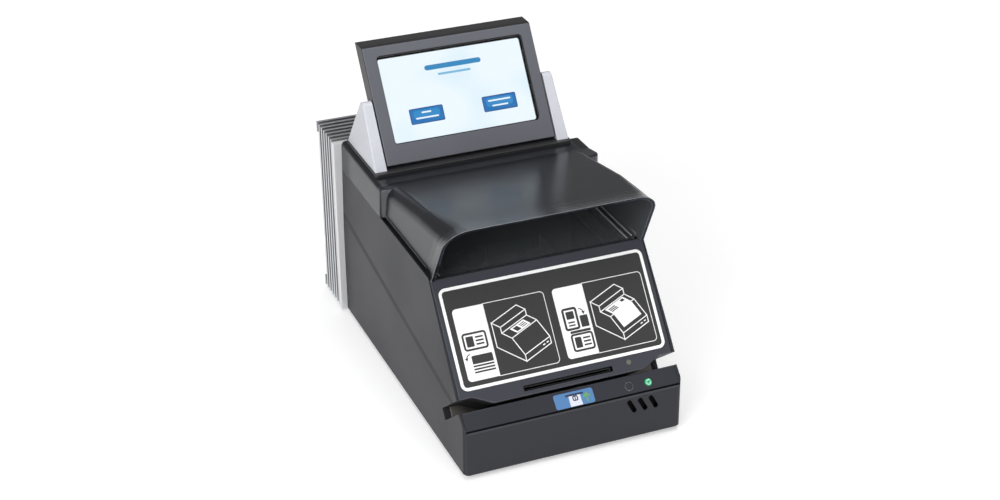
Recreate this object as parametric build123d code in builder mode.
"""Passport reader: a counter machine that scans, swipes and reads travel documents.

Frame: X to the right, Y towards the rear, Z up. The origin lies under the middle of the machine,
at the underside of its feet. Sizes are in millimetres. Inside this file, places are measured from
the front face of the lip (y) and from the housing's lower edge (z); the planes below carry them
into the frame.
"""
from math import atan2, cos, degrees, hypot, radians, sin, tan
import os

from build123d import *

os.makedirs("parts", exist_ok=True)

# Housing
housing_side = 13.2
body_depth = 214.5
side_wall = 4.2
edge_lip = 1.5
front_wall = 3.0
rear_wall = 3.0
corner_radius = 3.5
edge_break = 0.8
seam_height = 103.3
overrun = 30.0

# Side faces lean in above a crease that rises slightly towards the rear
crease_front_y = 22.6
crease_front_z = 57.1
crease_rise = 3.0
crease_lean = 1.4

# Front slope
slope_foot_y = 11.2
slope_foot_z = 45.5
slope_angle = 51.8
panel_thickness = 2.5
panel_gap = 0.3
panel_top_gap = 1.7
panel_edge_round = 0.4

# Swipe channel, measured along the slope from its foot and square to it
channel_lip = -7.0
channel_lip_drop = 2.1
channel_mouth = 1.6
channel_back = 0.4
channel_depth = 29.8
channel_wall = 1.8
channel_end_length = 22.0
channel_ramp = 12.0
wear_strip_thickness = 0.5
wear_strip_margin = 0.15

# Lip cover
lip_seam_height = 28.5
lip_crease_height = 30.5
lip_wall = 2.0
lip_flange = 5.0
lip_edge_round = 0.8

# Label, card slot and small LED on the front panel
label_side = 4.5
label_low = 4.3
label_drop = 6.05
label_thickness = 0.25
label_radius = 3.0
card_slot_width = 56.0
card_slot_height = 2.3
card_slot_centre = -1.2
panel_led_clear = 7.5
panel_led_up = 0.4
panel_led_radius = 1.5
panel_led_length = 6.0

# Sticker, button and status LED on the bevel
sticker_x = 0.8
sticker_width = 25.0
sticker_low = 0.9
sticker_high = 9.9
sticker_thickness = 0.15
sticker_radius = 1.3
bevel_item_up = 5.2
button_inset = 33.6
button_radius = 2.0
button_proud = 0.4
button_ring_width = 0.6
button_ring_proud = 0.15
button_gap = 0.15
button_travel = 0.6
button_collar_height = 0.8
status_led_inset = 21.0
status_led_radius = 2.5
status_led_dome = 0.7
indicator_board_length = 28.0
indicator_board_width = 9.0
indicator_board_thickness = 1.6
indicator_board_depth = 7.0
indicator_post_radius = 1.3
switch_size = 5.0
switch_height = 1.4

# Speaker
speaker_slots = 3
speaker_slot_pitch = 7.1
speaker_slot_width = 2.3
speaker_slot_run = 4.4
speaker_slot_drop = 8.0
speaker_slot_z = 22.2
speaker_inset = 26.2
speaker_z = 18.2
speaker_radius = 9.5
speaker_magnet_radius = 5.0
speaker_rim = 2.0
speaker_depth = 6.0

# Base plate, feet and bosses
base_thickness = 2.5
base_gap = 0.3
foot_height = 2.5
foot_radius = 7.0
foot_inset = 20.0
boss_width = 9.6
boss_height = 12.0
base_boss_inset = 10.0
ear_thickness = 2.5
screw_radius = 1.5
screw_head_radius = 2.8
screw_head_height = 1.7
screw_recess = 0.9
screw_recess_width = 0.8
screw_gap = 0.1

# Hood: a tunnel whose rim leans forward and flares, over a roof that rises to the front
hood_wall = 2.0
hood_floor_gap = 0.2
hood_inset_bottom = 3.6
hood_inset_left = 5.4
hood_inset_right = 3.2
rim_reach = 3.5
rim_angle = 62.0
rim_flare = 2.0
rim_top_flare = 1.1
rim_corner_radius = 15.4
left_corner_radius = 9.0
right_corner_radius = 3.5
corner_fade_length = 27.0
flare_length = 14.0
flare_place_shares = (0, 0.3, 0.6, 1)
bay_end_inset = 70.5
bay_end_wall = 3.0
step_length = 14.0
collar_rise = 19.9
collar_roof = 2.6
collar_fade = 14.4
collar_round = 3.0
pod_front = 18.0
pod_length = 35.0
pod_inset = 8.0
pod_height = 12.0
pod_drop = 0.4
pod_round = 7.0
pod_edge_round = 1.0
roof_angle = 9.5
roof_level_share = 0.9
groove_depth = 3.9

# Document glass and its frame
frame_start = 1.5
frame_flange = 1.5
frame_wall = 2.7
frame_front_bar = 1.2
frame_ledge_width = 1.9
frame_ledge = 3.8
frame_rail_width = 1.3
frame_rail_height = 0.9
side_gap = 0.2
glass_thickness = 3.0
glass_gap = 0.2

# Optics under the glass
antenna_thickness = 1.6
antenna_width = 2.4
chamber_wall = 1.5
chamber_gap = 0.3
chamber_drop = 24.0
chamber_low = 30.0
chamber_window_drop = 28.0
chamber_window_side = 12.9
mirror_thickness = 3.0
mirror_margin = 3.0
light_bar_width = 6.0
light_bar_height = 5.0
light_bar_drop = 3.0
light_bar_margin = 5.0
camera_axis_z = 50.0
camera_board_inset = 38.1
camera_board_size = 30.0
camera_board_thickness = 1.6
lens_radius = 8.0
lens_length = 16.0
lens_tip_radius = 6.0
lens_tip_length = 4.0
camera_bracket_width = 36.0
camera_bracket_sheet = 1.5
camera_bracket_foot = 10.0
camera_bracket_height = 66.0

# Card reader behind the slot
reader_gap = 0.1
reader_width = 64.0
reader_height = 9.4
reader_depth = 49.0
reader_floor = 2.0
card_width = 54.6
card_height = 1.2
carriage_width = 16.0
carriage_height = 2.4
carriage_length = 14.0
carriage_start = 24.0
carriage_travel = 4.0
carriage_gap = 0.3

# Magnetic head in the channel's front wall
head_x = 10.0
head_width = 12.0
head_length = 10.0
head_body = 8.0
head_proud = 0.9
head_travel = 0.8
head_gap = 0.4
head_depth = 19.8
head_nose_radius = 4.0
head_bracket_wall = 1.5

# Boards
board_z = 9.0
board_thickness = 1.6
board_side = 10.0
board_front_y = 62.0
board_rear_inset = 16.5
board_notch_half = 22.0
board_notch_inset = 46.5
board_chip = 18.0
board_chip_height = 2.2
standoff_radius = 3.0
standoff_inset = 6.0
computer_board_inset = 14.5
computer_side = 12.0
computer_low = 16.0
computer_drop = 11.3
chip_size = 34.0
chip_height = 2.4
pad_thickness = 1.0
pedestal_size = 40.0
pedestal_gap = 1.0
pedestal_z = 56.0

# Heat sink
sink_overhang = 4.0
sink_drop = 1.2
sink_plate = 4.0
sink_depth = 39.5
sink_core_half = 10.0
fin_count = 7
fin_thickness = 1.9
fin_inset = 0.8
fin_notch = 1.3
fin_notch_end = 7.0
sink_screw_x = 38.0
sink_screw_drop = 5.3

# Connectors, low on the right side
window_front_inset = 81.5
window_rear_side = 2.5
window_low = 9.0
window_high = 31.0
plate_thickness = 2.0
plate_margin = 2.0
socket_gap = 0.1
socket_proud = 0.3
switch_side = 3.5
switch_width = 11.0
switch_tall = 16.0
switch_frame_wall = 1.2
switch_flange = 1.0
switch_depth = 12.0
rocker_gap = 0.3
rocker_tilt = 10.0
rocker_proud = 1.6
rocker_thickness = 4.0
rocker_pin_radius = 1.0
rocker_pivot_in = 1.4
rocker_half = 6.2
rocker_back_share = 0.8
rocker_dip = 1.0
rocker_pin_gap = 0.05
lan_side = 3.5
lan_width = 16.0
lan_tall = 13.5
lan_depth = 21.0
lan_bore_width = 11.8
lan_bore_tall = 8.2
lan_bore_depth = 14.0
usb_side = 2.75
usb_width = 14.5
usb_tall = 6.6
usb_pitch = 9.0
usb_depth = 14.0
usb_wall = 0.8
usb_tongue = 1.8
inlet_side = 3.25
inlet_width = 9.0
inlet_tall = 11.0
inlet_depth = 14.0
inlet_radius = 2.8
inlet_pin_radius = 1.0
inlet_bore_depth = 10.0

# Deck plate and brackets
deck_thickness = 2.0
deck_side = 4.0
deck_front_inset = 60.5
deck_rear_inset = 2.5
deck_corner = 2.0
bracket_gap = 0.8
bracket_foot_width = 7.8
bracket_top_width = 6.2
bracket_rear_inset = 3.5
bracket_apex_up = 32.0
bracket_apex_radius = 4.0
bracket_edge_round = 0.8
bracket_screw_reach = 6.0
bracket_screw_front = 12.0
bracket_screw_rear = 12.0

# Display, leaning back; measured up the screen from its lower edge
display_lean = 34.0
screen_low_inset = 48.6
screen_rise = 15.0
screen_width = 96.7
screen_height = 55.0
display_side = 8.45
display_below = 13.7
display_above = 7.2
display_thickness = 12.6
display_corner = 1.6
bezel_depth = 4.0
bezel_skin = 1.5
window_gap = 0.4
window_radius = 2.0
display_wall = 2.0
touch_margin = 1.8
touch_thickness = 1.1
lcd_margin_x = 3.0
lcd_margin_up = 2.0
lcd_thickness = 2.9
lcd_gap = 0.1
display_board_side = 14.8
display_board_low = 2.0
display_board_high = 48.0
display_board_depth = 6.3
display_post_radius = 2.2
display_screw_side = 16.8
display_screw_inset = 2.6
display_screw_radius = 1.1
display_screw_head = 2.0
display_vents = 5
display_vent_pitch = 4.0
display_vent_width = 1.5
display_vent_length = 24.0
pivot_up = 20.0
pivot_depth = 8.3
pivot_radius = 2.5
pivot_gap = 0.05
pivot_in_display = 5.0
pivot_in_bracket = 4.0
pivot_boss_width = 11.0
washer_thickness = 0.6
washer_radius = 5.0

# Places that follow from the sizes above
display_half_width = screen_width / 2 + display_side
half = display_half_width + housing_side
inner_half = half - side_wall
cover_half = half - edge_lip - panel_gap
overall_depth = body_depth + sink_depth
front_y = -overall_depth / 2
rear_inner_y = body_depth - rear_wall
slope_cos = cos(radians(slope_angle))
slope_sin = sin(radians(slope_angle))
slope_length = (seam_height - slope_foot_z) / slope_sin
slope_top_y = slope_foot_y + slope_length * slope_cos
panel_top = slope_length - panel_top_gap
label_high = panel_top - label_drop
rim_y = slope_top_y - rim_reach
frame_start_y = slope_top_y + frame_start
collar_top = seam_height + collar_rise
screen_low_z = collar_top + screen_rise
sink_height = collar_top - sink_drop
sink_screw_high = seam_height - sink_screw_drop
mouth_edge = channel_lip + channel_mouth
channel_straight = half - channel_end_length
channel_flare = channel_straight + channel_ramp
panel_led_x = reader_width / 2 + panel_led_clear
button_x = half - button_inset
status_led_x = half - status_led_inset
speaker_x = half - speaker_inset
bay_end_y = body_depth - bay_end_inset
screen_low_y = body_depth - screen_low_inset
bracket_rear_y = body_depth - bracket_rear_inset


def side_plane(x=0.0):
    """Upright plane across X: its own axes run rearwards and up."""
    return Plane(origin=(x, front_y, foot_height), x_dir=(0, 1, 0), z_dir=(1, 0, 0))


def level_plane(z):
    """Horizontal plane at a height above the housing's lower edge."""
    return Plane(origin=(0, front_y, foot_height + z))


def front_plane(y):
    """Upright plane facing the user: its own axes run right and up, its normal forwards."""
    return Plane(origin=(0, front_y + y, foot_height), x_dir=(1, 0, 0), z_dir=(0, -1, 0))


def slope_point(up, deep=0.0):
    """(y, z) of a point given along the slope and square into it."""
    y = slope_foot_y + up * slope_cos + deep * slope_sin
    z = slope_foot_z + up * slope_sin - deep * slope_cos
    return y, z


def slope_plane(deep=0.0):
    """Plane on the front slope: right and up the slope, its normal outwards."""
    y, z = slope_point(0, deep)
    return Plane(origin=(0, front_y + y, foot_height + z), x_dir=(1, 0, 0), z_dir=(0, -slope_sin, slope_cos))


lip_edge = slope_point(channel_lip, channel_lip_drop)
bevel_angle = atan2(lip_edge[1] - lip_crease_height, lip_edge[0])


def bevel_plane(deep=0.0):
    """Plane on the lip's bevel: right and up the bevel, its normal outwards."""
    y, z = deep * sin(bevel_angle), lip_crease_height - deep * cos(bevel_angle)
    return Plane(
        origin=(0, front_y + y, foot_height + z),
        x_dir=(1, 0, 0),
        z_dir=(0, -sin(bevel_angle), cos(bevel_angle)),
    )


lean_cos = cos(radians(display_lean))
lean_sin = sin(radians(display_lean))


def display_point(up, deep=0.0):
    """(y, z) of a point given up the screen and square behind its face."""
    return (screen_low_y + up * lean_sin + deep * lean_cos, screen_low_z + up * lean_cos - deep * lean_sin)


def display_plane(deep=0.0):
    """Plane of the display's face: right and up the screen, its normal towards the user."""
    y, z = display_point(0, deep)
    return Plane(origin=(0, front_y + y, foot_height + z), x_dir=(1, 0, 0), z_dir=(0, -lean_cos, lean_sin))


def face_through(*points):
    """Flat face with straight sides through the points, in the sketch being made."""
    Polygon(*points, align=None)


def moved_chain(points, wall):
    """The same open chain of straight lines, moved to its right side by a wall."""
    normals = []
    for (a, b), (c, d) in zip(points, points[1:]):
        run = hypot(c - a, d - b)
        normals.append(((d - b) / run, (a - c) / run))
    normals = [normals[0], *normals, normals[-1]]
    moved = []
    for (a, b), (p, q), (r, s) in zip(points, normals, normals[1:]):
        reach = wall / (1 + p * r + q * s)
        moved.append((a + reach * (p + r), b + reach * (q + s)))
    return moved


def strip_through(chain, wall):
    """Flat strip between an open chain and the same chain moved to its right side."""
    face_through(*chain, *reversed(moved_chain(chain, wall)))


def both(*places):
    """The places and their mirror images across the middle plane."""
    return [(side * x, y) for side in (-1, 1) for x, y in places]


def finish(part, name):
    """Names a finished sub-part and writes its file."""
    part.label = name
    export_step(part, f"parts/{name}.step")
    print(name, len(part.solids()), "solids")


def screws(plane, places, length, radius=screw_radius, head=screw_head_radius):
    """Pan-head screws with a cross recess: heads stand on the plane, shanks go behind it."""
    with BuildPart() as made:
        with BuildSketch(plane):
            with Locations(*places):
                Circle(head)
        extrude(amount=screw_head_height)
        with BuildSketch(plane):
            with Locations(*places):
                Circle(radius)
        extrude(amount=-length)
        with BuildSketch(plane.offset(screw_head_height)):
            with Locations(*places):
                Rectangle(head, screw_recess_width)
                Rectangle(screw_recess_width, head)
        extrude(amount=-screw_recess, mode=Mode.SUBTRACT)
    return made.part


# Wedge that leans a side face inwards above the crease
crease_angle = atan2(crease_rise, body_depth)
lean_height = collar_top - crease_front_z


def side_shave(side):
    """Thin wedge to take off one side above its crease, running the body's whole depth."""
    along = (0, cos(crease_angle), sin(crease_angle))
    crease_plane = Plane(
        origin=(side * half, front_y + crease_front_y, foot_height + crease_front_z),
        x_dir=(side, 0, 0),
        z_dir=along,
    )
    up = -side
    with BuildPart() as wedge:
        with BuildSketch(crease_plane):
            face_through(
                (0, 0),
                (overrun, 0),
                (overrun, up * (lean_height + overrun)),
                (-crease_lean * (lean_height + overrun) / lean_height, up * (lean_height + overrun)),
            )
        extrude(amount=body_depth + overrun, both=True)
    return wedge.part


side_shaves = [side_shave(-1), side_shave(1)]

# Where the brackets stand, and where screws pass between the parts
deck_top = collar_top + deck_thickness
deck_face_y = screen_low_y + (deck_top - screen_low_z) * lean_sin / lean_cos
bracket_inner = display_half_width + bracket_gap
bracket_middle = bracket_inner + bracket_foot_width / 2
bracket_screw_places = [
    (bracket_middle, deck_face_y + bracket_screw_front),
    (bracket_middle, bracket_rear_y - bracket_screw_rear),
]
sink_screw_places = [(sink_screw_x, pedestal_z), (sink_screw_x, sink_screw_high)]

# Window for the connectors, and where they stand in it, each beside the one before
switch_inset = window_front_inset - switch_side - switch_width / 2
lan_inset = switch_inset - switch_width / 2 - lan_side - lan_width / 2
usb_inset = lan_inset - lan_width / 2 - usb_side - usb_width / 2
inlet_inset = usb_inset - usb_width / 2 - inlet_side - inlet_width / 2
window_rear_inset = inlet_inset - inlet_width / 2 - window_rear_side
window_length = window_front_inset - window_rear_inset
window_height = window_high - window_low
socket_z = (window_low + window_high) / 2
window_centre = (body_depth - (window_front_inset + window_rear_inset) / 2, socket_z)
switch_y = body_depth - switch_inset
lan_y = body_depth - lan_inset
inlet_y = body_depth - inlet_inset
usb_places = [(body_depth - usb_inset, socket_z + side * usb_pitch / 2) for side in (-1, 1)]

# Outer line of the lip cover: up the front, over the bevel, down into the channel
lip_flange_end = slope_point(channel_lip, channel_lip_drop + lip_flange)
lip_chain = [(0, lip_seam_height), (0, lip_crease_height), lip_edge, lip_flange_end]

# Channel's plan on the slope: its back wall opens into a funnel at both ends
channel_back_chain = [
    (inner_half, channel_back),
    (channel_flare, channel_back),
    (channel_straight, mouth_edge),
    (-channel_straight, mouth_edge),
    (-channel_flare, channel_back),
    (-inner_half, channel_back),
]

# Main housing: side walls, front wall and rear wall, open below, above and at the slope
notch_deep = channel_depth + wear_strip_thickness
base_boss_x = half - base_boss_inset
base_bosses = [(base_boss_x, front_wall + boss_width / 2), (base_boss_x, rear_inner_y - boss_width / 2)]
hood_boss_ys = (bay_end_y + bay_end_wall + boss_width, rear_inner_y - boss_width)
hood_boss_places = both(*[(inner_half - boss_width / 2, y) for y in hood_boss_ys])
hood_ear_top = seam_height - ear_thickness
with BuildPart() as main_housing:
    with BuildSketch(side_plane()):
        face_through(
            (0, 0),
            (0, lip_crease_height),
            lip_edge,
            slope_point(channel_lip, notch_deep),
            slope_point(channel_back, notch_deep),
            slope_point(channel_back),
            (slope_top_y, seam_height),
            (body_depth, seam_height),
            (body_depth, 0),
        )
    extrude(amount=half, both=True)
    front_edges = main_housing.edges().filter_by(Axis.Z).group_by(Axis.Y)[0]
    fillet(front_edges, corner_radius)
    chamfer(main_housing.faces().sort_by(Axis.Z)[0].edges(), edge_break)
    for wedge in side_shaves:
        add(wedge, mode=Mode.SUBTRACT)
    # Room inside, open to the front above the seam
    with BuildSketch(side_plane()):
        face_through(
            (front_wall, -overrun),
            (rear_inner_y, -overrun),
            (rear_inner_y, seam_height + overrun),
            (-overrun, seam_height + overrun),
            (-overrun, lip_seam_height),
            (front_wall, lip_seam_height),
        )
    extrude(amount=inner_half, both=True, mode=Mode.SUBTRACT)
    # Rebates that leave a thin outer edge beside the lip cover and the front panel
    with BuildSketch(side_plane()):
        strip_through(lip_chain, lip_wall + panel_gap)
        face_through(
            slope_point(channel_back, -overrun),
            slope_point(slope_length + overrun, -overrun),
            slope_point(slope_length + overrun, panel_thickness),
            slope_point(channel_back, panel_thickness),
        )
    extrude(amount=half - edge_lip, both=True, mode=Mode.SUBTRACT)
    # Shoulder for the glass frame, behind a thin outer edge
    with BuildSketch(level_plane(seam_height)):
        with Locations((0, (frame_start_y + bay_end_y + bay_end_wall) / 2)):
            Rectangle(2 * (half - edge_lip), bay_end_y + bay_end_wall - frame_start_y + panel_gap)
    extrude(amount=-groove_depth, mode=Mode.SUBTRACT)
    # Bosses for the base plate's screws
    with BuildSketch(level_plane(base_thickness)):
        with Locations(*both(*base_bosses)):
            Rectangle(2 * (base_boss_inset - side_wall), boss_width)
    extrude(amount=boss_height)
    with BuildSketch(level_plane(base_thickness)):
        with Locations(*both(*base_bosses)):
            Circle(screw_radius)
    extrude(amount=boss_height - edge_break, mode=Mode.SUBTRACT)
    # Ears for the hood's screws
    with BuildSketch(level_plane(hood_ear_top)):
        with Locations(*hood_boss_places):
            Rectangle(boss_width, boss_width)
    extrude(amount=-ear_thickness)
    with BuildSketch(level_plane(hood_ear_top)):
        with Locations(*hood_boss_places):
            Circle(screw_radius + screw_gap)
    extrude(amount=-ear_thickness, mode=Mode.SUBTRACT)
    # Speaker slots, leaning over like the strokes of a louvre
    with BuildSketch(front_plane(0)):
        with Locations((speaker_x, speaker_slot_z)):
            with GridLocations(speaker_slot_pitch, 0, speaker_slots, 1):
                SlotCenterToCenter(
                    hypot(speaker_slot_run, speaker_slot_drop) - speaker_slot_width,
                    speaker_slot_width,
                    rotation=-degrees(atan2(speaker_slot_drop, speaker_slot_run)),
                )
    extrude(amount=-front_wall, mode=Mode.SUBTRACT)
    # Window for the heat sink's pedestal
    with BuildSketch(front_plane(body_depth)):
        with Locations((0, pedestal_z)):
            Rectangle(pedestal_size + 2 * pedestal_gap, pedestal_size + 2 * pedestal_gap)
        with Locations(*both(*sink_screw_places)):
            Circle(screw_radius + screw_gap)
    extrude(amount=rear_wall, mode=Mode.SUBTRACT)
    # Window for the connectors
    with BuildSketch(side_plane(half)):
        with Locations(window_centre):
            RectangleRounded(window_length, window_height, corner_radius)
    extrude(amount=-side_wall, mode=Mode.SUBTRACT)
finish(main_housing.part, "main_housing")

# Base plate with countersunk places for its screws
base_half = inner_half - base_gap
base_front = front_wall + base_gap
base_rear = rear_inner_y - base_gap
with BuildPart() as base_plate:
    with BuildSketch(level_plane(0)):
        with Locations((0, (base_front + base_rear) / 2)):
            Rectangle(2 * base_half, base_rear - base_front)
    extrude(amount=base_thickness)
    with BuildSketch(level_plane(0)):
        with Locations(*both(*base_bosses)):
            Circle(screw_head_radius + screw_gap)
    extrude(amount=screw_head_height, mode=Mode.SUBTRACT)
    with BuildSketch(level_plane(0)):
        with Locations(*both(*base_bosses)):
            Circle(screw_radius + screw_gap)
    extrude(amount=base_thickness, mode=Mode.SUBTRACT)
finish(base_plate.part, "base_plate")

base_screw_plane = Plane(
    origin=(0, front_y, foot_height + screw_head_height), x_dir=(1, 0, 0), z_dir=(0, 0, -1)
)
base_screw_places = [(x, -y) for x, y in both(*base_bosses)]
base_screws = screws(base_screw_plane, base_screw_places, boss_height - edge_break)
finish(base_screws, "base_screws")

# Rubber feet
foot_places = both((half - foot_inset, foot_inset), (half - foot_inset, body_depth - foot_inset))
with BuildPart() as rubber_feet:
    with BuildSketch(level_plane(0)):
        with Locations(*foot_places):
            Circle(foot_radius)
    extrude(amount=-foot_height)
    chamfer(rubber_feet.edges().group_by(Axis.Z)[0], edge_break)
finish(rubber_feet.part, "rubber_feet")

# Front panel on the slope
panel_outline = [
    (cover_half, channel_back),
    (channel_flare, channel_back),
    (channel_straight, mouth_edge),
    (-channel_straight, mouth_edge),
    (-channel_flare, channel_back),
    (-cover_half, channel_back),
    (-cover_half, panel_top),
    (cover_half, panel_top),
]
with BuildPart() as front_panel:
    with BuildSketch(slope_plane()):
        face_through(*panel_outline)
        with Locations((0, card_slot_centre)):
            Rectangle(card_slot_width, card_slot_height, mode=Mode.SUBTRACT)
        with Locations((panel_led_x, panel_led_up)):
            Circle(panel_led_radius + screw_gap, mode=Mode.SUBTRACT)
    extrude(amount=-panel_thickness)
    outer_face = front_panel.faces().sort_by(Axis((0, 0, 0), slope_plane().z_dir))[-1]
    chamfer(outer_face.outer_wire().edges(), panel_edge_round)
finish(front_panel.part, "front_panel")

# Instruction label, a thin sheet on the front panel
with BuildPart() as instruction_label:
    with BuildSketch(slope_plane()):
        with Locations((0, (label_low + label_high) / 2)):
            RectangleRounded(2 * (half - label_side), label_high - label_low, label_radius)
    extrude(amount=label_thickness)
finish(instruction_label.part, "instruction_label")

# Small LED in the front panel
with BuildPart() as panel_led:
    with BuildSketch(slope_plane(panel_thickness)):
        with Locations((panel_led_x, panel_led_up)):
            Circle(panel_led_radius + button_ring_width)
    extrude(amount=-button_collar_height)
    with BuildSketch(slope_plane(panel_led_length)):
        with Locations((panel_led_x, panel_led_up)):
            Circle(panel_led_radius)
    extrude(amount=panel_led_length)
finish(panel_led.part, "panel_led")

# Lip cover over the front edge, with posts for the indicator board
board_centre_x = (button_x + status_led_x) / 2
post_places = [
    (board_centre_x + side * (indicator_board_length / 2 - 2 * indicator_post_radius), bevel_item_up)
    for side in (-1, 1)
]
with BuildPart() as lip_cover:
    with BuildSketch(side_plane()):
        strip_through(lip_chain, lip_wall)
    extrude(amount=cover_half, both=True)
    crease_line = (0, front_y, foot_height + lip_crease_height)
    fillet(lip_cover.edges().filter_by(Axis.X).sort_by_distance(crease_line)[0], lip_edge_round)
    lip_line = (0, front_y + lip_edge[0], foot_height + lip_edge[1])
    fillet(lip_cover.edges().filter_by(Axis.X).sort_by_distance(lip_line)[0], lip_edge_round)
    with BuildSketch(bevel_plane()):
        with Locations((button_x, bevel_item_up)):
            Circle(button_radius + button_gap)
        with Locations((status_led_x, bevel_item_up)):
            Circle(status_led_radius + button_gap)
    extrude(amount=-2 * lip_wall, mode=Mode.SUBTRACT)
    with BuildSketch(bevel_plane(lip_wall)):
        with Locations(*post_places):
            Circle(indicator_post_radius)
    extrude(amount=lip_wall - indicator_board_depth)
finish(lip_cover.part, "lip_cover")

# Sticker on the bevel
with BuildPart() as lip_sticker:
    with BuildSketch(bevel_plane()):
        with Locations((sticker_x, (sticker_low + sticker_high) / 2)):
            RectangleRounded(sticker_width, sticker_high - sticker_low, sticker_radius)
    extrude(amount=sticker_thickness)
finish(lip_sticker.part, "lip_sticker")

# Round button, its ring, the status LED and the board that carries them
bevel_normal = Axis(bevel_plane().origin, bevel_plane().z_dir)
stem_end = indicator_board_depth - switch_height - button_travel - screw_gap
with BuildPart() as function_button:
    with BuildSketch(bevel_plane(stem_end)):
        with Locations((button_x, bevel_item_up)):
            Circle(button_radius)
    extrude(amount=stem_end + button_proud)
    fillet(function_button.edges().sort_by(bevel_normal)[-1], button_proud / 2)
    with BuildSketch(bevel_plane(lip_wall + button_gap)):
        with Locations((button_x, bevel_item_up)):
            Circle(button_radius + button_ring_width)
    extrude(amount=-button_collar_height)
finish(function_button.part, "function_button")

with BuildPart() as button_ring:
    with BuildSketch(bevel_plane()):
        with Locations((button_x, bevel_item_up)):
            Circle(button_radius + button_gap + button_ring_width)
            Circle(button_radius + button_gap, mode=Mode.SUBTRACT)
    extrude(amount=button_ring_proud)
finish(button_ring.part, "button_ring")

with BuildPart() as status_led:
    with BuildSketch(bevel_plane(indicator_board_depth)):
        with Locations((status_led_x, bevel_item_up)):
            Circle(status_led_radius)
    extrude(amount=indicator_board_depth + status_led_dome)
    fillet(status_led.edges().sort_by(bevel_normal)[-1], 2 * status_led_dome)
finish(status_led.part, "status_led")

with BuildPart() as indicator_board:
    with BuildSketch(bevel_plane(indicator_board_depth)):
        with Locations((board_centre_x, bevel_item_up)):
            Rectangle(indicator_board_length, indicator_board_width)
    extrude(amount=-indicator_board_thickness)
    with BuildSketch(bevel_plane(indicator_board_depth)):
        with Locations((button_x, bevel_item_up)):
            Rectangle(switch_size, switch_size)
    extrude(amount=switch_height)
finish(indicator_board.part, "indicator_board")

# Speaker behind the front wall
with BuildPart() as speaker:
    with BuildSketch(front_plane(front_wall)):
        with Locations((speaker_x, speaker_z)):
            Circle(speaker_radius)
    extrude(amount=-speaker_rim)
    with BuildSketch(front_plane(front_wall + speaker_rim)):
        with Locations((speaker_x, speaker_z)):
            Circle(speaker_magnet_radius)
    extrude(amount=-(speaker_depth - speaker_rim))
finish(speaker.part, "speaker")

# Swipe channel: a back wall with a funnel at each end, a front wall and a floor
channel_half = inner_half - side_gap
channel_floor = notch_deep + channel_wall
channel_back_line = [(max(-channel_half, min(channel_half, x)), up) for x, up in channel_back_chain]
front_wall_start = channel_lip_drop + lip_flange
with BuildPart() as swipe_channel:
    with BuildSketch(slope_plane(panel_thickness)):
        strip_through(channel_back_line, channel_wall)
    extrude(amount=panel_thickness - channel_floor)
    with BuildSketch(slope_plane(front_wall_start)):
        with Locations((0, channel_lip - channel_wall / 2)):
            Rectangle(2 * channel_half, channel_wall)
    extrude(amount=front_wall_start - channel_floor)
    with BuildSketch(slope_plane(notch_deep)):
        face_through(
            *moved_chain(channel_back_line, channel_wall / 2),
            (-channel_half, channel_lip - channel_wall / 2),
            (channel_half, channel_lip - channel_wall / 2),
        )
    extrude(amount=-channel_wall)
    with BuildSketch(slope_plane(head_depth - head_length / 2 - head_gap)):
        with Locations((head_x, channel_lip - channel_wall / 2)):
            Rectangle(head_width + 2 * head_gap, channel_wall + channel_mouth)
    extrude(amount=-(head_length + 2 * head_gap), mode=Mode.SUBTRACT)
finish(swipe_channel.part, "swipe_channel")

with BuildPart() as wear_strip:
    with BuildSketch(slope_plane(notch_deep)):
        face_through(
            *moved_chain(channel_back_line, -wear_strip_margin),
            (-channel_half, channel_lip + wear_strip_margin),
            (channel_half, channel_lip + wear_strip_margin),
        )
    extrude(amount=wear_strip_thickness)
finish(wear_strip.part, "wear_strip")

# Magnetic head, floating in a bracket behind the channel's front wall
with BuildPart() as magnetic_head:
    with BuildSketch(slope_plane(head_depth - head_length / 2)) as head_plan:
        with Locations((head_x, channel_lip + head_proud - head_body / 2)):
            Rectangle(head_width, head_body)
        fillet(head_plan.vertices().group_by(Axis.Y)[-1], head_nose_radius)
    extrude(amount=-head_length)
finish(magnetic_head.part, "magnetic_head")

bracket_room = head_body - head_proud - channel_wall + head_travel + head_gap
bracket_room_width = head_width + 2 * head_gap
head_bracket_top = head_depth - head_length / 2 - head_gap
with BuildPart() as head_bracket:
    with BuildSketch(slope_plane(head_bracket_top)):
        with Locations((head_x, channel_lip - channel_wall - (bracket_room + head_bracket_wall) / 2)):
            Rectangle(bracket_room_width + 2 * head_bracket_wall, bracket_room + head_bracket_wall)
        with Locations((head_x, channel_lip - channel_wall - bracket_room / 2)):
            Rectangle(bracket_room_width, bracket_room, mode=Mode.SUBTRACT)
    extrude(amount=-(head_length + 2 * head_gap))
finish(head_bracket.part, "head_bracket")

# Card reader: a body with a slot, and the carriage that carries its contacts
reader_top = panel_thickness + reader_gap
reader_low = mouth_edge + channel_wall + reader_gap
slot_roof = card_slot_centre + card_height / 2
pocket_height = carriage_height + reader_gap + carriage_gap
with BuildPart() as card_reader_body:
    with BuildSketch(slope_plane(reader_top)):
        with Locations((0, reader_low + reader_height / 2)):
            Rectangle(reader_width, reader_height)
    extrude(amount=-reader_depth)
    with BuildSketch(slope_plane(reader_top)):
        with Locations((0, card_slot_centre)):
            Rectangle(card_width, card_height)
    extrude(amount=reader_floor - reader_depth, mode=Mode.SUBTRACT)
    with BuildSketch(slope_plane(reader_top + carriage_start - carriage_gap)):
        with Locations((0, slot_roof + pocket_height / 2)):
            Rectangle(carriage_width + 2 * carriage_gap, pocket_height)
    extrude(amount=-(carriage_length + carriage_travel + 2 * carriage_gap), mode=Mode.SUBTRACT)
finish(card_reader_body.part, "card_reader_body")

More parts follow.
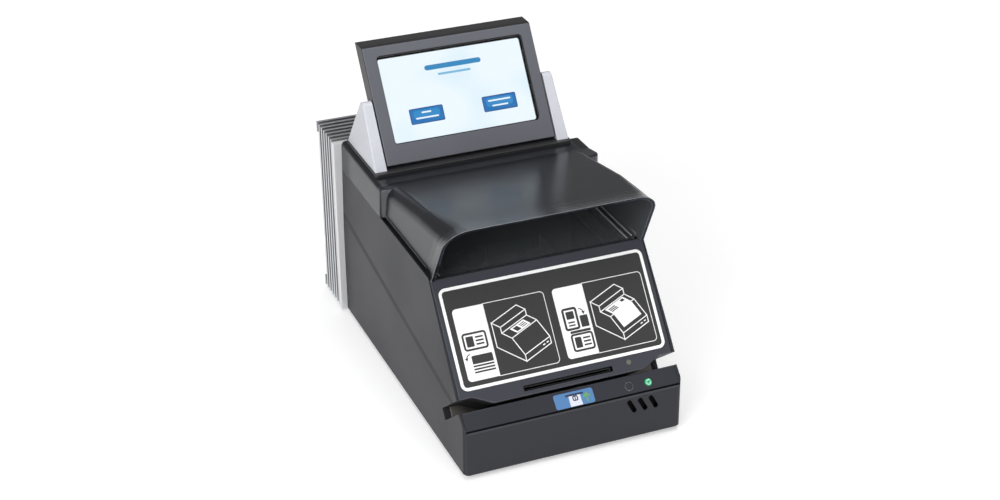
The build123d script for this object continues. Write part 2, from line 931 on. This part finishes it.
with BuildPart() as card_reader_carriage:
    with BuildSketch(slope_plane(reader_top + carriage_start)):
        with Locations((0, slot_roof + reader_gap + carriage_height / 2)):
            Rectangle(carriage_width, carriage_height)
    extrude(amount=-carriage_length)
finish(card_reader_carriage.part, "card_reader_carriage")

# Hood and upper cover in one shell: a tunnel over the glass, and a collar flush with the housing
shoulder_z = seam_height - groove_depth
frame_top = shoulder_z + frame_flange
panel_top_y, panel_top_z = slope_point(panel_top)
hood_floor = panel_top_z + hood_floor_gap
roof_rise = tan(radians(roof_angle))
rim_cos = cos(radians(rim_angle))
rim_sin = sin(radians(rim_angle))
step_front_y = bay_end_y - step_length
bay_rear_y = bay_end_y + bay_end_wall
hood_half_bottom = half - hood_inset_bottom
corner_end_y = rim_y + corner_fade_length


def rim_plane(back):
    """Plane of the rim, or one parallel to it further back: right and up, its normal forwards."""
    return Plane(
        origin=(0, front_y + rim_y + back * rim_sin, foot_height + hood_floor + back * rim_cos),
        x_dir=(1, 0, 0),
        z_dir=(0, -rim_sin, -rim_cos),
    )


def rim_roof(back):
    """How far up such a plane the roof is met."""
    reach = bay_end_y - rim_y - back * rim_sin
    return (collar_top - hood_floor - back * rim_cos + reach * roof_rise) / (rim_sin - rim_cos * roof_rise)


def corner_radius_at(share, end_radius):
    """Radius of an upper corner at one of the flare's places, on its way from the rim to its end."""
    return rim_corner_radius + share * (end_radius - rim_corner_radius) / 2


def hood_outline(sketch, low, high, wall, flare, left_radius, right_radius):
    """Tunnel's section: its two sides and rounded upper corners, moved in by a wall."""
    bottom = hood_half_bottom + flare * rim_flare - wall
    left = half - hood_inset_left + flare * rim_flare - wall
    right = half - hood_inset_right - wall
    roof = high + flare * rim_top_flare - wall
    face_through((-bottom, low), (bottom, low), (right, roof), (-left, roof))
    corners = sketch.vertices().group_by(Axis.Y)[-1].sort_by(Axis.X)
    fillet(corners[0], left_radius - wall)
    corners = sketch.vertices().group_by(Axis.Y)[-1].sort_by(Axis.X)
    fillet(corners[-1], right_radius - wall)


def roof_height(place):
    """Height of the sloping roof at a place along the machine."""
    return collar_top + (bay_end_y - place) * roof_rise


with BuildPart() as hood_room:
    for share in (-rim_flare / flare_length, *flare_place_shares[1:]):
        back = share * flare_length
        with BuildSketch(rim_plane(back)) as section:
            low = -(back * rim_cos + groove_depth) / rim_sin
            left_radius = corner_radius_at(share, left_corner_radius)
            right_radius = corner_radius_at(share, right_corner_radius)
            hood_outline(
                section, low, rim_roof(back), hood_wall, (1 - share) ** 2, left_radius, right_radius
            )
    for place in (corner_end_y, bay_end_y):
        with BuildSketch(front_plane(place)) as section:
            hood_outline(
                section, hood_floor - groove_depth, roof_height(place), hood_wall, 0,
                left_corner_radius, right_corner_radius,
            )
    loft(ruled=True)

# Space above the sloping roof and the level top of the collar
with BuildPart() as above_roof:
    with BuildSketch(side_plane()):
        face_through(
            (rim_y, roof_height(rim_y)),
            (bay_end_y, collar_top),
            (body_depth + overrun, collar_top),
            (body_depth + overrun, roof_height(rim_y) + overrun),
            (rim_y, roof_height(rim_y) + overrun),
        )
    extrude(amount=half + overrun, both=True)

# Collar, flush with the housing and narrowing to the tunnel through a soft step
fade_half = half - collar_fade
with BuildPart() as collar:
    with BuildSketch(level_plane(seam_height)):
        with BuildLine():
            Line((-fade_half, step_front_y), (fade_half, step_front_y))
            Spline((fade_half, step_front_y), (half, bay_end_y), tangents=((0, 1), (0, 1)))
            Line((half, bay_end_y), (half, body_depth))
            Line((half, body_depth), (-half, body_depth))
            Line((-half, body_depth), (-half, bay_end_y))
            Spline((-half, bay_end_y), (-fade_half, step_front_y), tangents=((0, -1), (0, -1)))
        make_face()
    extrude(amount=collar_top - seam_height + step_length * roof_rise)
    add(above_roof.part, mode=Mode.SUBTRACT)
    for wedge in side_shaves:
        add(wedge, mode=Mode.SUBTRACT)
    top_edges = collar.faces().filter_by(lambda face: face.normal_at().Z > roof_level_share).edges()
    fillet([edge for edge in top_edges if abs(edge.center().X) > fade_half], collar_round)

# Pod on the collar's right side
pod_half = half + sink_overhang
pod_inner = half - pod_inset
with BuildPart() as side_pod:
    with BuildSketch(level_plane(collar_top - pod_height)) as pod_plan:
        face_through(
            (pod_inner, bay_end_y - pod_front),
            (pod_half, bay_end_y - pod_front),
            (pod_half, bay_end_y - pod_front + pod_length),
            (pod_inner, bay_end_y - pod_front + pod_length),
        )
        fillet(pod_plan.vertices().group_by(Axis.X)[-1].sort_by(Axis.Y)[0], pod_round)
    extrude(amount=pod_height + pod_front * roof_rise)
    add(Pos(0, 0, -pod_drop) * above_roof.part, mode=Mode.SUBTRACT)
    outer_edges = [edge for edge in side_pod.edges() if edge.center().X > half]
    fillet(outer_edges, pod_edge_round)

hood_bosses_top = seam_height + boss_width
with BuildPart() as hood:
    for share in flare_place_shares:
        back = share * flare_length
        with BuildSketch(rim_plane(back)) as section:
            low = -back * rim_cos / rim_sin
            left_radius = corner_radius_at(share, left_corner_radius)
            right_radius = corner_radius_at(share, right_corner_radius)
            hood_outline(section, low, rim_roof(back), 0, (1 - share) ** 2, left_radius, right_radius)
    for place in (corner_end_y, bay_rear_y):
        with BuildSketch(front_plane(place)) as section:
            hood_outline(
                section, hood_floor, roof_height(place), 0, 0, left_corner_radius, right_corner_radius
            )
    loft(ruled=True)
    add(collar.part)
    add(side_pod.part)
    # Room for the document and room inside the collar
    add(hood_room.part, mode=Mode.SUBTRACT)
    with BuildSketch(level_plane(collar_top - collar_roof)):
        with Locations((0, (bay_rear_y + rear_inner_y) / 2)):
            Rectangle(2 * inner_half, rear_inner_y - bay_rear_y)
    extrude(amount=-(collar_top - collar_roof - hood_floor), mode=Mode.SUBTRACT)
    # Skirts and end wall that stand on the glass frame
    with BuildSketch(level_plane(frame_top)):
        with Locations(*both((hood_half_bottom - hood_wall / 2, (frame_start_y + bay_rear_y) / 2))):
            Rectangle(hood_wall, bay_rear_y - frame_start_y)
        with Locations((0, (bay_end_y + bay_rear_y) / 2)):
            Rectangle(2 * hood_half_bottom, bay_end_wall)
    extrude(amount=seam_height + frame_flange - frame_top)
    # Bosses over the housing's ears
    with BuildSketch(level_plane(hood_ear_top)):
        with Locations(*hood_boss_places):
            Rectangle(boss_width, boss_width)
    extrude(amount=hood_bosses_top - hood_ear_top)
    with BuildSketch(level_plane(hood_ear_top)):
        with Locations(*hood_boss_places):
            Circle(screw_radius)
    extrude(amount=hood_bosses_top - hood_ear_top - edge_break, mode=Mode.SUBTRACT)
    # Passages for the bracket screws
    with BuildSketch(level_plane(collar_top)):
        with Locations(*both(*bracket_screw_places)):
            Circle(screw_radius + screw_gap)
    extrude(amount=-collar_roof, mode=Mode.SUBTRACT)
finish(hood.part, "hood")

hood_screw_plane = Plane(
    origin=(0, front_y, foot_height + hood_ear_top - ear_thickness), x_dir=(1, 0, 0), z_dir=(0, 0, -1)
)
hood_screws = screws(hood_screw_plane, [(x, -y) for x, y in hood_boss_places], boss_height - edge_break)
finish(hood_screws, "hood_screws")

# Frame of the document glass: a flange on the housing's shoulder, a ledge below, two rails
frame_half = inner_half - side_gap
opening_half = frame_half - frame_wall
opening_front = frame_start_y + frame_front_bar
opening_rear = bay_rear_y - frame_wall
glass_top = frame_top - glass_gap / 2
glass_bottom = glass_top - glass_thickness
ledge_half = opening_half - frame_ledge_width
frame_bottom = glass_bottom - frame_ledge
with BuildPart() as glass_frame:
    with BuildSketch(level_plane(frame_bottom)):
        with Locations((0, (frame_start_y + bay_rear_y) / 2)):
            Rectangle(2 * frame_half, bay_rear_y - frame_start_y)
    extrude(amount=frame_top - frame_bottom)
    with BuildSketch(level_plane(shoulder_z)):
        with Locations((0, (frame_start_y + bay_rear_y) / 2)):
            Rectangle(2 * cover_half, bay_rear_y - frame_start_y)
    extrude(amount=frame_flange)
    with BuildSketch(level_plane(frame_top)):
        with Locations(*both((opening_half + frame_rail_width / 2, (frame_start_y + bay_end_y) / 2))):
            Rectangle(frame_rail_width, bay_end_y - frame_start_y - side_gap)
    extrude(amount=frame_rail_height)
    with BuildSketch(level_plane(glass_bottom)):
        with Locations((0, (opening_front + opening_rear) / 2)):
            Rectangle(2 * opening_half, opening_rear - opening_front)
    extrude(amount=overrun, mode=Mode.SUBTRACT)
    with BuildSketch(level_plane(frame_bottom)):
        with Locations((0, (opening_front + opening_rear) / 2)):
            Rectangle(2 * ledge_half, opening_rear - opening_front - 2 * frame_ledge_width)
    extrude(amount=frame_ledge, mode=Mode.SUBTRACT)
finish(glass_frame.part, "glass_frame")

with BuildPart() as document_glass:
    with BuildSketch(level_plane(glass_bottom)):
        with Locations((0, (opening_front + opening_rear) / 2)):
            Rectangle(2 * (opening_half - glass_gap), opening_rear - opening_front - 2 * glass_gap)
    extrude(amount=glass_thickness)
finish(document_glass.part, "document_glass")

# Radio antenna, a flat ring under the frame
antenna_front = frame_start_y + side_gap
antenna_rear = bay_rear_y - side_gap
with BuildPart() as antenna_board:
    with BuildSketch(level_plane(frame_bottom)):
        with Locations((0, (antenna_front + antenna_rear) / 2)):
            Rectangle(2 * (frame_half - side_gap), antenna_rear - antenna_front)
            Rectangle(
                2 * (frame_half - side_gap - antenna_width),
                antenna_rear - antenna_front - 2 * antenna_width,
                mode=Mode.SUBTRACT,
            )
    extrude(amount=-antenna_thickness)
finish(antenna_board.part, "antenna_board")

# Optical chamber under the glass, with a slanted floor that holds the mirror
chamber_half = frame_half - side_gap - antenna_width - chamber_gap
chamber_window_half = chamber_half - chamber_window_side
chamber_front = antenna_front + antenna_width + chamber_gap
chamber_rear = antenna_rear - antenna_width - chamber_gap
chamber_high = frame_bottom - chamber_drop
chamber_window = frame_bottom - chamber_window_drop
chamber_slant_y = chamber_front + chamber_high - chamber_low
chamber_room_top = frame_bottom + overrun
with BuildPart() as optical_chamber:
    with BuildSketch(side_plane()):
        face_through(
            (chamber_front, frame_bottom),
            (chamber_rear, frame_bottom),
            (chamber_rear, chamber_low),
            (chamber_slant_y, chamber_low),
            (chamber_front, chamber_high),
        )
    extrude(amount=chamber_half, both=True)
    with BuildSketch(side_plane()):
        face_through(*moved_chain(
            [
                (chamber_rear, chamber_room_top),
                (chamber_rear, chamber_low),
                (chamber_slant_y, chamber_low),
                (chamber_front, chamber_high),
                (chamber_front, chamber_room_top),
            ],
            chamber_wall,
        ))
    extrude(amount=chamber_half - chamber_wall, both=True, mode=Mode.SUBTRACT)
    with BuildSketch(front_plane(chamber_rear)):
        with Locations((0, (chamber_low + chamber_wall + mirror_margin + chamber_window) / 2)):
            Rectangle(2 * chamber_window_half, chamber_window - chamber_low - chamber_wall - mirror_margin)
    extrude(amount=chamber_wall, both=True, mode=Mode.SUBTRACT)
finish(optical_chamber.part, "optical_chamber")

mirror_plane = Plane(
    origin=(0, front_y + chamber_slant_y, foot_height + chamber_low), x_dir=(1, 0, 0), z_dir=(0, 1, 1)
)
slant_length = hypot(chamber_high - chamber_low, chamber_high - chamber_low)
with BuildPart() as mirror:
    with BuildSketch(mirror_plane.offset(chamber_wall)):
        with Locations((0, -slant_length / 2)):
            Rectangle(2 * (chamber_half - chamber_wall - mirror_margin), slant_length - 2 * mirror_margin)
    extrude(amount=mirror_thickness)
finish(mirror.part, "mirror")

light_bar_x = chamber_half - chamber_wall - light_bar_width / 2
light_bar_length = chamber_rear - chamber_front - 2 * light_bar_margin
with BuildPart() as light_bars:
    with BuildSketch(level_plane(frame_bottom - light_bar_drop)):
        with Locations(*both((light_bar_x, (chamber_front + chamber_rear) / 2))):
            Rectangle(light_bar_width, light_bar_length)
    extrude(amount=-light_bar_height)
finish(light_bars.part, "light_bars")

# Camera on its bracket, looking forwards into the chamber
camera_board_y = body_depth - camera_board_inset
with BuildPart() as camera_lens:
    with BuildSketch(front_plane(camera_board_y)):
        with Locations((0, camera_axis_z)):
            Circle(lens_radius)
    extrude(amount=lens_length)
    with BuildSketch(front_plane(camera_board_y - lens_length)):
        with Locations((0, camera_axis_z)):
            Circle(lens_tip_radius)
    extrude(amount=lens_tip_length)
finish(camera_lens.part, "camera_lens")

with BuildPart() as camera_board:
    with BuildSketch(front_plane(camera_board_y)):
        with Locations((0, camera_axis_z)):
            Rectangle(camera_board_size, camera_board_size)
    extrude(amount=-camera_board_thickness)
finish(camera_board.part, "camera_board")

bracket_sheet_y = camera_board_y + camera_board_thickness
with BuildPart() as camera_bracket:
    with BuildSketch(side_plane()):
        face_through(
            (bracket_sheet_y, base_thickness),
            (bracket_sheet_y, camera_bracket_height),
            (bracket_sheet_y + camera_bracket_sheet, camera_bracket_height),
            (bracket_sheet_y + camera_bracket_sheet, base_thickness + camera_bracket_sheet),
            (bracket_sheet_y + camera_bracket_foot, base_thickness + camera_bracket_sheet),
            (bracket_sheet_y + camera_bracket_foot, base_thickness),
        )
    extrude(amount=camera_bracket_width / 2, both=True)
finish(camera_bracket.part, "camera_bracket")

# Main board on standoffs over the base plate
board_half_width = half - board_side
board_rear_y = body_depth - board_rear_inset
board_notch_y = body_depth - board_notch_inset
board_centre_y = (board_front_y + board_rear_y) / 2
board_holes = both(
    (board_half_width - standoff_inset, board_front_y + standoff_inset),
    (board_half_width - standoff_inset, board_rear_y - standoff_inset),
)
with BuildPart() as main_board:
    with BuildSketch(level_plane(board_z)):
        with Locations((0, board_centre_y)):
            Rectangle(2 * board_half_width, board_rear_y - board_front_y)
        with Locations((0, (board_notch_y + board_rear_y) / 2)):
            Rectangle(2 * board_notch_half, board_rear_y - board_notch_y, mode=Mode.SUBTRACT)
        with Locations(*board_holes):
            Circle(screw_radius + screw_gap, mode=Mode.SUBTRACT)
    extrude(amount=board_thickness)
    with BuildSketch(level_plane(board_z + board_thickness)):
        with Locations((0, board_centre_y), (-board_chip, board_centre_y - 2 * board_chip)):
            Rectangle(board_chip, board_chip)
    extrude(amount=board_chip_height)
finish(main_board.part, "main_board")

# Computer board upright before the rear wall, its processor against the heat sink
computer_board_y = body_depth - computer_board_inset
computer_half_width = half - computer_side
computer_high = seam_height - computer_drop
computer_holes = both(
    (computer_half_width - standoff_inset, computer_low + standoff_inset),
    (computer_half_width - standoff_inset, computer_high - standoff_inset),
)
computer_rear_y = computer_board_y + board_thickness
with BuildPart() as computer_board:
    with BuildSketch(front_plane(computer_board_y)):
        with Locations((0, (computer_low + computer_high) / 2)):
            Rectangle(2 * computer_half_width, computer_high - computer_low)
        with Locations(*computer_holes):
            Circle(screw_radius + screw_gap, mode=Mode.SUBTRACT)
    extrude(amount=-board_thickness)
    with BuildSketch(front_plane(computer_rear_y)):
        with Locations((0, pedestal_z)):
            Rectangle(chip_size, chip_size)
    extrude(amount=-chip_height)
finish(computer_board.part, "computer_board")

standoff_length = rear_inner_y - computer_rear_y
with BuildPart() as standoffs:
    with BuildSketch(level_plane(base_thickness)):
        with Locations(*board_holes):
            RegularPolygon(standoff_radius, 6)
            Circle(screw_radius, mode=Mode.SUBTRACT)
    extrude(amount=board_z - base_thickness)
    with BuildSketch(front_plane(rear_inner_y)):
        with Locations(*computer_holes):
            RegularPolygon(standoff_radius, 6)
            Circle(screw_radius, mode=Mode.SUBTRACT)
    extrude(amount=standoff_length)
finish(standoffs.part, "standoffs")

with BuildPart() as board_screws:
    add(screws(level_plane(board_z + board_thickness), board_holes, board_z - base_thickness))
    add(screws(front_plane(computer_board_y), computer_holes, standoff_length))
finish(board_screws.part, "board_screws")

# Heat sink: a plate on the rear wall, a core and upright fins
pad_y = computer_rear_y + chip_height
fin_pitch = (sink_depth - sink_plate) / fin_count
sink_half_width = half + sink_overhang
fin_half = sink_half_width - fin_inset
with BuildPart() as heat_sink:
    with BuildSketch(level_plane(0)):
        with Locations((0, body_depth + sink_plate / 2)):
            Rectangle(2 * sink_half_width, sink_plate)
        with Locations((0, body_depth + sink_depth / 2)):
            Rectangle(2 * sink_core_half, sink_depth)
        for number in range(1, fin_count + 1):
            with Locations((0, body_depth + sink_plate + number * fin_pitch - fin_thickness / 2)):
                Rectangle(2 * fin_half, fin_thickness)
    extrude(amount=sink_height)
    with BuildSketch(front_plane(body_depth + sink_depth)):
        with Locations(*both((fin_half, sink_height / 2))):
            Rectangle(2 * fin_notch, sink_height - 2 * fin_notch_end)
    extrude(amount=fin_thickness, mode=Mode.SUBTRACT)
    with BuildSketch(front_plane(body_depth)):
        with Locations((0, pedestal_z)):
            Rectangle(pedestal_size, pedestal_size)
    extrude(amount=body_depth - pad_y - pad_thickness)
    with BuildSketch(front_plane(body_depth)):
        with Locations(*both(*sink_screw_places)):
            Circle(screw_radius)
    extrude(amount=-sink_plate + edge_break, mode=Mode.SUBTRACT)
finish(heat_sink.part, "heat_sink")

with BuildPart() as thermal_pad:
    with BuildSketch(front_plane(pad_y)):
        with Locations((0, pedestal_z)):
            Rectangle(chip_size, chip_size)
    extrude(amount=-pad_thickness)
finish(thermal_pad.part, "thermal_pad")

sink_screw_length = rear_wall + sink_plate - edge_break
heat_sink_screws = screws(front_plane(rear_inner_y), both(*sink_screw_places), sink_screw_length)
finish(heat_sink_screws, "heat_sink_screws")

# Connector plate inside the window, low on the right side
socket_face = inner_half + socket_proud
with BuildPart() as connector_plate:
    with BuildSketch(side_plane(inner_half)):
        with Locations(window_centre):
            Rectangle(window_length + 2 * plate_margin, window_height + 2 * plate_margin)
        with Locations((switch_y, socket_z)):
            Rectangle(switch_width + socket_gap, switch_tall + socket_gap, mode=Mode.SUBTRACT)
        with Locations((lan_y, socket_z)):
            Rectangle(lan_width + socket_gap, lan_tall + socket_gap, mode=Mode.SUBTRACT)
        with Locations(*usb_places):
            Rectangle(usb_width + socket_gap, usb_tall + socket_gap, mode=Mode.SUBTRACT)
        with Locations((inlet_y, socket_z)):
            Rectangle(inlet_width + socket_gap, inlet_tall + socket_gap, mode=Mode.SUBTRACT)
    extrude(amount=-plate_thickness)
finish(connector_plate.part, "connector_plate")

with BuildPart() as lan_socket:
    with BuildSketch(side_plane(socket_face)):
        with Locations((lan_y, socket_z)):
            Rectangle(lan_width, lan_tall)
    extrude(amount=-lan_depth)
    with BuildSketch(side_plane(socket_face)):
        with Locations((lan_y, socket_z)):
            Rectangle(lan_bore_width, lan_bore_tall)
    extrude(amount=-lan_bore_depth, mode=Mode.SUBTRACT)
finish(lan_socket.part, "lan_socket")

with BuildPart() as usb_sockets:
    with BuildSketch(side_plane(socket_face)):
        with Locations(*usb_places):
            Rectangle(usb_width, usb_tall)
    extrude(amount=-usb_depth)
    with BuildSketch(side_plane(socket_face)):
        with Locations(*usb_places):
            Rectangle(usb_width - 2 * usb_wall, usb_tall - 2 * usb_wall)
            Rectangle(usb_width - 6 * usb_wall, usb_tongue, mode=Mode.SUBTRACT)
    extrude(amount=-(usb_depth - usb_wall), mode=Mode.SUBTRACT)
finish(usb_sockets.part, "usb_sockets")

with BuildPart() as power_inlet:
    with BuildSketch(side_plane(socket_face)):
        with Locations((inlet_y, socket_z)):
            Rectangle(inlet_width, inlet_tall)
    extrude(amount=-inlet_depth)
    with BuildSketch(side_plane(socket_face)):
        with Locations((inlet_y, socket_z)):
            Circle(inlet_radius)
            Circle(inlet_pin_radius, mode=Mode.SUBTRACT)
    extrude(amount=-inlet_bore_depth, mode=Mode.SUBTRACT)
finish(power_inlet.part, "power_inlet")

# Power switch: a frame in the plate and a rocker on two short pins
rocker_x = inner_half + switch_flange - rocker_pivot_in
cavity_wide = switch_width - 2 * switch_frame_wall
cavity_tall = switch_tall - 2 * switch_frame_wall
with BuildPart() as power_switch_frame:
    with BuildSketch(side_plane(inner_half)):
        with Locations((switch_y, socket_z)):
            Rectangle(switch_width, switch_tall)
    extrude(amount=-switch_depth)
    with BuildSketch(side_plane(inner_half)):
        with Locations((switch_y, socket_z)):
            Rectangle(switch_width + 2 * switch_flange, switch_tall + 2 * switch_flange)
    extrude(amount=switch_flange)
    with BuildSketch(side_plane(inner_half + switch_flange)):
        with Locations((switch_y, socket_z)):
            Rectangle(cavity_wide, cavity_tall)
    extrude(amount=-(switch_depth + switch_flange - switch_frame_wall), mode=Mode.SUBTRACT)
    with BuildSketch(front_plane(switch_y)):
        with Locations((rocker_x, socket_z)):
            Circle(rocker_pin_radius + rocker_pin_gap)
    extrude(amount=switch_width / 2, both=True, mode=Mode.SUBTRACT)
finish(power_switch_frame.part, "power_switch_frame")

rocker_wide = cavity_wide - 2 * rocker_gap
with BuildPart() as power_rocker:
    with BuildSketch(front_plane(switch_y)):
        with Locations(Location((rocker_x, socket_z, 0), (0, 0, rocker_tilt))):
            face_through(
                (-rocker_thickness / 2, -rocker_half * rocker_back_share),
                (rocker_proud + rocker_pivot_in, -rocker_half),
                (rocker_proud + rocker_pivot_in - rocker_dip, 0),
                (rocker_proud + rocker_pivot_in, rocker_half),
                (-rocker_thickness / 2, rocker_half * rocker_back_share),
            )
    extrude(amount=rocker_wide / 2, both=True)
    with BuildSketch(front_plane(switch_y)):
        with Locations((rocker_x, socket_z)):
            Circle(rocker_pin_radius)
    extrude(amount=switch_width / 2 - rocker_pin_gap, both=True)
finish(power_rocker.part, "power_rocker")

# Deck plate on the collar
deck_length = deck_front_inset - deck_rear_inset
deck_middle_y = body_depth - (deck_front_inset + deck_rear_inset) / 2
with BuildPart() as deck_plate:
    with BuildSketch(level_plane(collar_top)):
        with Locations((0, deck_middle_y)):
            RectangleRounded(2 * (half - deck_side), deck_length, deck_corner)
        with Locations(*both(*bracket_screw_places)):
            Circle(screw_radius + screw_gap, mode=Mode.SUBTRACT)
    extrude(amount=deck_thickness)
finish(deck_plate.part, "deck_plate")

bracket_screws = screws(
    Plane(origin=(0, front_y, foot_height + collar_top - collar_roof), x_dir=(1, 0, 0), z_dir=(0, 0, -1)),
    [(x, -y) for x, y in both(*bracket_screw_places)],
    collar_roof + deck_thickness + bracket_screw_reach,
)
finish(bracket_screws, "bracket_screws")

# Display brackets, their fronts level with the display's face
apex_y, apex_z = display_point(bracket_apex_up)


def bracket(side):
    """One bracket: a rounded triangle, thinner at its top, with a hole for the pivot pin."""
    inner_x = side * bracket_inner
    with BuildPart() as made:
        with BuildSketch(side_plane(inner_x)) as outline:
            face_through((deck_face_y, deck_top), (apex_y, apex_z), (bracket_rear_y, deck_top))
            fillet(outline.vertices().group_by(Axis.Y)[-1], bracket_apex_radius)
        extrude(amount=side * bracket_foot_width)
        with BuildSketch(front_plane(0)):
            face_through(
                (inner_x + side * bracket_foot_width, deck_top),
                (inner_x + side * (bracket_foot_width + overrun), deck_top),
                (inner_x + side * (bracket_foot_width + overrun), apex_z),
                (inner_x + side * bracket_top_width, apex_z),
            )
        extrude(amount=-overall_depth, mode=Mode.SUBTRACT)
        outer_face = made.faces().sort_by(Axis.X)[-1 if side > 0 else 0]
        fillet(outer_face.edges().sort_by(Axis.Z)[1:], bracket_edge_round)
        with BuildSketch(side_plane(inner_x)):
            with Locations(display_point(pivot_up, pivot_depth)):
                Circle(pivot_radius)
        extrude(amount=side * pivot_in_bracket, mode=Mode.SUBTRACT)
        with BuildSketch(level_plane(deck_top)):
            with Locations(*[(side * x, y) for x, y in bracket_screw_places]):
                Circle(screw_radius)
        extrude(amount=bracket_screw_reach, mode=Mode.SUBTRACT)
    return made.part


finish(bracket(-1), "bracket_left")
finish(bracket(1), "bracket_right")

# Display: a bezel and a rear cover, level above and below, leaning with the screen
display_low_z = display_point(-display_below)[1]
display_high_z = display_point(screen_height + display_above)[1]


def display_y(deep, z):
    """How far back a layer of the display lies at a height."""
    return screen_low_y + (z - screen_low_z) * lean_sin / lean_cos + deep / lean_cos


def display_layer(start, end, inset=0.0):
    """Side outline of the display between two depths, moved in from its top and bottom."""
    low, high = display_low_z + inset, display_high_z - inset
    face_through(
        (display_y(start, low), low),
        (display_y(start, high), high),
        (display_y(end, high), high),
        (display_y(end, low), low),
    )


display_normal = Axis(display_plane().origin, display_plane().z_dir)
post_up = screen_height + display_above - display_screw_inset
display_screw_places = both((display_half_width - display_screw_side, post_up))
screen_middle = (0, screen_height / 2)
lcd_depth = bezel_skin + touch_thickness + lcd_gap
with BuildPart() as display_bezel:
    with BuildSketch(side_plane()):
        display_layer(0, bezel_depth)
    extrude(amount=display_half_width, both=True)
    fillet(display_bezel.faces().sort_by(display_normal)[-1].edges(), edge_break)
    with BuildSketch(display_plane()):
        with Locations(screen_middle):
            RectangleRounded(screen_width + 2 * window_gap, screen_height + 2 * window_gap, window_radius)
    extrude(amount=-bezel_skin, mode=Mode.SUBTRACT)
    with BuildSketch(display_plane(bezel_skin)):
        with Locations(screen_middle):
            Rectangle(
                screen_width + 2 * (lcd_margin_x + lcd_gap), screen_height + 2 * (lcd_margin_up + lcd_gap)
            )
    extrude(amount=bezel_skin - bezel_depth, mode=Mode.SUBTRACT)
    with BuildSketch(display_plane(bezel_depth)):
        with Locations(*display_screw_places):
            Circle(display_screw_radius)
    extrude(amount=bezel_depth - bezel_skin - window_gap, mode=Mode.SUBTRACT)
finish(display_bezel.part, "display_bezel")

with BuildPart() as touch_glass:
    with BuildSketch(display_plane(bezel_skin)):
        with Locations(screen_middle):
            Rectangle(screen_width + 2 * touch_margin, screen_height + 2 * touch_margin)
    extrude(amount=-touch_thickness)
finish(touch_glass.part, "touch_glass")

with BuildPart() as lcd_panel:
    with BuildSketch(display_plane(lcd_depth)):
        with Locations(screen_middle):
            Rectangle(screen_width + 2 * lcd_margin_x, screen_height + 2 * lcd_margin_up)
    extrude(amount=-lcd_thickness)
finish(lcd_panel.part, "lcd_panel")

with BuildPart() as display_rear_cover:
    with BuildSketch(side_plane()):
        display_layer(bezel_depth, display_thickness)
    extrude(amount=display_half_width, both=True)
    fillet(display_rear_cover.faces().sort_by(display_normal)[0].edges(), display_corner)
    with BuildSketch(side_plane()):
        display_layer(0, display_thickness - display_wall, display_wall)
    extrude(amount=display_half_width - display_wall, both=True, mode=Mode.SUBTRACT)
    # Blocks for the pivot pins and posts for the screws
    with BuildSketch(display_plane(bezel_depth)):
        with Locations(*both((display_half_width - pivot_in_display / 2 - pivot_gap, pivot_up))):
            Rectangle(pivot_in_display, pivot_boss_width)
        with Locations(*display_screw_places):
            Circle(display_post_radius)
    extrude(amount=bezel_depth + display_wall / 2 - display_thickness)
    with BuildSketch(side_plane(display_half_width)):
        with Locations(display_point(pivot_up, pivot_depth)):
            Circle(pivot_radius + pivot_gap)
    extrude(amount=-pivot_in_display, mode=Mode.SUBTRACT)
    with BuildSketch(side_plane(-display_half_width)):
        with Locations(display_point(pivot_up, pivot_depth)):
            Circle(pivot_radius + pivot_gap)
    extrude(amount=pivot_in_display, mode=Mode.SUBTRACT)
    with BuildSketch(display_plane(bezel_depth)):
        with Locations(*display_screw_places):
            Circle(display_screw_radius + screw_gap)
    extrude(amount=bezel_depth - display_thickness, mode=Mode.SUBTRACT)
    with BuildSketch(display_plane(display_thickness)):
        with Locations(*display_screw_places):
            Circle(display_screw_head + screw_gap)
    extrude(amount=screw_head_height, mode=Mode.SUBTRACT)
    with BuildSketch(display_plane(display_thickness)):
        with Locations(screen_middle):
            with GridLocations(display_vent_length * 3 / 2, display_vent_pitch, 2, display_vents):
                SlotOverall(display_vent_length, display_vent_width)
    extrude(amount=display_wall, mode=Mode.SUBTRACT)
finish(display_rear_cover.part, "display_rear_cover")

with BuildPart() as display_board:
    with BuildSketch(display_plane(display_board_depth)):
        with Locations((0, (display_board_low + display_board_high) / 2)):
            Rectangle(2 * (display_half_width - display_board_side), display_board_high - display_board_low)
    extrude(amount=-board_thickness)
finish(display_board.part, "display_board")

screw_seat = display_thickness - screw_head_height
display_screw_plane = Plane(
    origin=display_plane(screw_seat).origin, x_dir=(1, 0, 0), z_dir=-display_plane().z_dir
)
display_screws = screws(
    display_screw_plane,
    [(x, -up) for x, up in display_screw_places],
    screw_seat - bezel_skin - window_gap,
    display_screw_radius,
    display_screw_head,
)
finish(display_screws, "display_screws")

# Pivot pins and the washers between display and brackets
with BuildPart() as pivot_pins:
    for side in (-1, 1):
        with BuildSketch(side_plane(side * (bracket_inner + pivot_in_bracket))):
            with Locations(display_point(pivot_up, pivot_depth)):
                Circle(pivot_radius)
        extrude(amount=-side * (pivot_in_bracket + bracket_gap + pivot_in_display - pivot_gap))
finish(pivot_pins.part, "pivot_pins")

with BuildPart() as friction_washers:
    for side in (-1, 1):
        with BuildSketch(side_plane(side * bracket_inner)):
            with Locations(display_point(pivot_up, pivot_depth)):
                Circle(washer_radius)
                Circle(pivot_radius + pivot_gap, mode=Mode.SUBTRACT)
        extrude(amount=-side * washer_thickness)
finish(friction_washers.part, "friction_washers")
